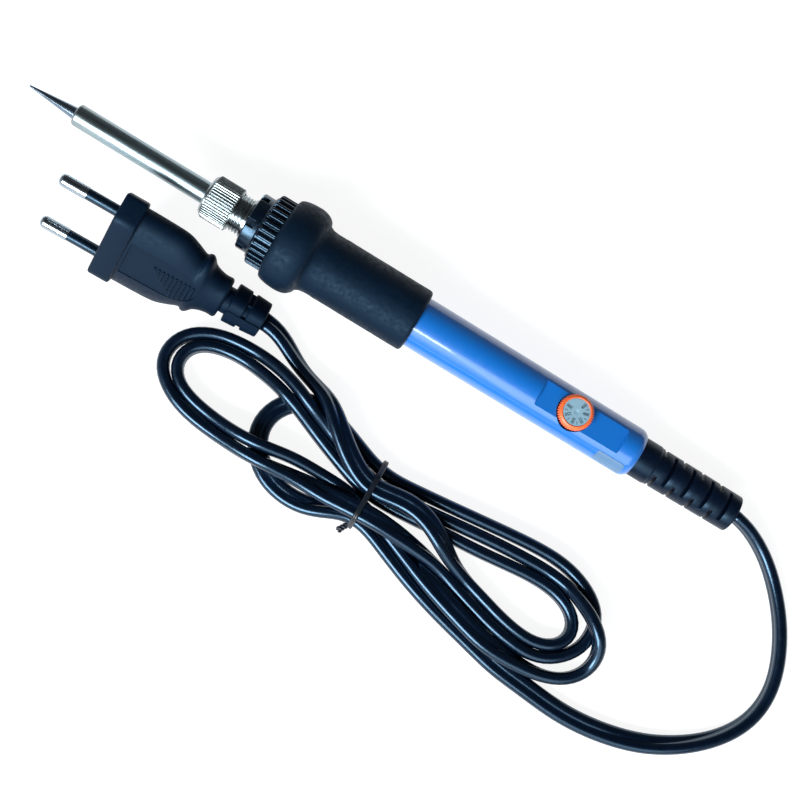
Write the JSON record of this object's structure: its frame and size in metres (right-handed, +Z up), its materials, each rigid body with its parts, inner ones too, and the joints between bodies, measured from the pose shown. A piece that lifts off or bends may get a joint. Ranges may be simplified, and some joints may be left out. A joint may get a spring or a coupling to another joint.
{
  "type": "soldering iron",
  "caption": "Pen-style electric soldering iron with a conical tip, steel barrel held by a knurled nut, rubber grip, blue handle with a temperature dial, and a tied mains cord with a plug",
  "frame": {"origin": "On the resting surface, under the middle of the iron from tip to strain relief; the cord and plug aren't counted", "axes": "+X runs along the iron from its tip to its strain relief, +Y to the side away from the coiled cord, +Z up"},
  "size_m": [0.2854, 0.0951, 0.0292],
  "materials": {
    "tip_plating": "iron-plated working cone, bright and slightly heat-tinted",
    "barrel_steel": "thin stainless tube, polished lengthwise",
    "nickel": "nickel plating",
    "black_plastic": "glass-filled black plastic, satin",
    "black_rubber": "soft matte rubber",
    "blue_plastic": "glossy blue moulding",
    "ceramic": null,
    "lead_wire": "bare nickel wire",
    "glass_sleeve": "woven glass sleeving",
    "board": "phenolic board",
    "blue_component": "moulded case",
    "orange_plastic": "orange moulding, satin",
    "dial_print": "grey printed face",
    "black_epoxy": "black epoxy package",
    "brown_epoxy": "dipped epoxy",
    "glass_blue": "painted glass bead",
    "tan_coat": "resistor coating",
    "wire_jacket": "insulated wires, one brown and one blue",
    "cord_pvc": "glossy black PVC",
    "ivory_plastic": "ivory moulding",
    "relief_rubber": "black PVC, satin",
    "label_film": "blank silver-white film",
    "tie_wire": "plastic-coated wire",
    "plug_pvc": "black PVC moulding, satin",
    "pin_plating": "nickel-plated brass"
  },
  "bodies": {
    "handle": {"threaded_ferrule": "nickel", "front_collar": "black_plastic", "cooling_ring": "black_plastic", "rubber_grip": "black_rubber", "handle_shell": "blue_plastic", "heater_core": "ceramic", "heater_insulator": "ceramic", "heater_leads": "lead_wire", "lead_sleeves": "glass_sleeve", "circuit_board": "board", "pot_body": "blue_component", "triac": "black_epoxy", "capacitor": "brown_epoxy", "diac": "glass_blue", "resistors": "tan_coat", "mains_wires": "wire_jacket", "cord_core": "cord_pvc", "cord_clip": "ivory_plastic", "strain_relief": "relief_rubber", "blank_label": "label_film", "cord_lead": "cord_pvc", "cord_hank": "cord_pvc", "twist_tie": "tie_wire", "cord_plug_tail": "cord_pvc", "plug_body": "plug_pvc", "plug_carrier": "ivory_plastic", "pin_sleeves": "black_plastic", "plug_pins": "pin_plating"},
    "barrel": {"barrel_tube": "barrel_steel", "tip": "tip_plating"},
    "nut": {"barrel_nut": "nickel"},
    "dial": {"dial_rim": "orange_plastic", "dial_face": "dial_print", "pot_shaft": "nickel"}
  },
  "joints": [
    {"name": "barrel_slide", "type": "slide", "parent": "handle", "child": "barrel", "axis": [-0.9986, 0, 0.053], "range_m": [0, 0.005]},
    {"name": "nut_turn", "type": "hinge", "parent": "barrel", "child": "nut", "pos_m": [-0.05758, 0, 0.01549], "axis": [-0.9986, 0, 0.053], "range_deg": [-20, 1870]},
    {"name": "dial_turn", "type": "hinge", "parent": "handle", "child": "dial", "pos_m": [0.06475, 0, 0.00899], "axis": [0.053, 0, 0.9986], "range_deg": [-135, 135]}
  ],
  "couplings": [
    {"joint": "nut_turn", "follows": "barrel_slide", "rad_per_m": 6283.2}
  ]
}
